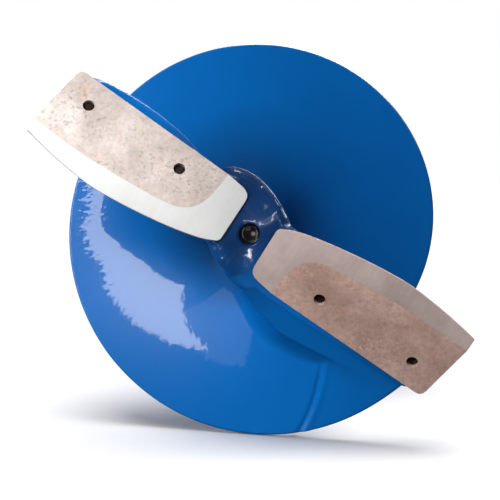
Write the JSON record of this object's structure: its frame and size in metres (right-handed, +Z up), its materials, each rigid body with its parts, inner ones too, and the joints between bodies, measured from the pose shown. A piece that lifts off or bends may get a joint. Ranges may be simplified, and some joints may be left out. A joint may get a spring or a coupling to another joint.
{
  "type": "hand ice auger",
  "caption": "Hand-cranked drill with a bladed cutting head, a spiral flight on a tube and a telescoping crank with turning grips.",
  "frame": {"origin": "on the floor, under the middle of the part's box as it lies on its side", "axes": "+Y runs along the shaft from the cutting head to the handle, +Z is up, +X is to the right seen from the cutting head"},
  "size_m": [0.2282, 1.2164, 0.1829],
  "materials": {
    "blue_paint": "gloss powder coat with orange peel",
    "blade_steel": "mottled, with a ground bevel",
    "black_steel": "black oxide",
    "plated_steel": "zinc plated",
    "black_nylon": "moulded, fine texture",
    "grip_rubber": "soft matt rubber"
  },
  "bodies": {
    "auger": {"cutting_head": "blue_paint", "lead_in_plate": "blue_paint", "blade_a": "blade_steel", "blade_b": "blade_steel", "blade_screw_1": "black_steel", "blade_screw_2": "black_steel", "blade_screw_3": "black_steel", "blade_screw_4": "black_steel", "blade_washer_1": "plated_steel", "blade_washer_2": "plated_steel", "blade_washer_3": "plated_steel", "blade_washer_4": "plated_steel", "flight_section_1": "blue_paint", "flight_section_2": "blue_paint", "flight_section_3": "blue_paint", "flight_section_4": "blue_paint", "seam_weld_1": "blue_paint", "seam_weld_2": "blue_paint", "seam_weld_3": "blue_paint", "seam_weld_4": "blue_paint", "root_weld_1": "blue_paint", "root_weld_2": "blue_paint", "root_weld_3": "blue_paint", "root_weld_4": "blue_paint", "socket_weld": "blue_paint", "drill_tube": "blue_paint", "tube_collar": "black_nylon", "clamp_nut_1": "blue_paint", "clamp_nut_2": "blue_paint"},
    "crank": {"crank_tube": "blue_paint", "grip_collar_1": "plated_steel", "grip_collar_2": "plated_steel", "knob_plug": "plated_steel", "knob_washer": "plated_steel", "knob_screw": "plated_steel"},
    "grip": {"grip_core": "black_nylon", "grip_sleeve": "grip_rubber"},
    "knob": {"top_knob": "black_nylon", "knob_cap": "black_nylon"},
    "wing_1": {"wing_screw_1": "plated_steel"},
    "wing_2": {"wing_screw_2": "plated_steel"}
  },
  "joints": [
    {"name": "handle_height", "type": "slide", "parent": "auger", "child": "crank", "axis": [0, 1, 0], "range_m": [0, 0.228]},
    {"name": "grip_spin", "type": "hinge", "parent": "crank", "child": "grip", "pos_m": [0.0966, 0.33818, 0.0175], "axis": [0, 1, 0], "continuous": true},
    {"name": "knob_spin", "type": "hinge", "parent": "crank", "child": "knob", "pos_m": [-0.02224, 0.59, 0.0915], "axis": [0, 1, 0], "continuous": true},
    {"name": "wing_screw_1_turn", "type": "hinge", "parent": "auger", "child": "wing_1", "pos_m": [-0.02224, 0.02818, 0.12], "axis": [0, 0, 1], "range_deg": [0, 360]},
    {"name": "wing_screw_2_turn", "type": "hinge", "parent": "auger", "child": "wing_2", "pos_m": [-0.02224, 0.07218, 0.12], "axis": [0, 0, 1], "range_deg": [0, 360]}
  ]
}
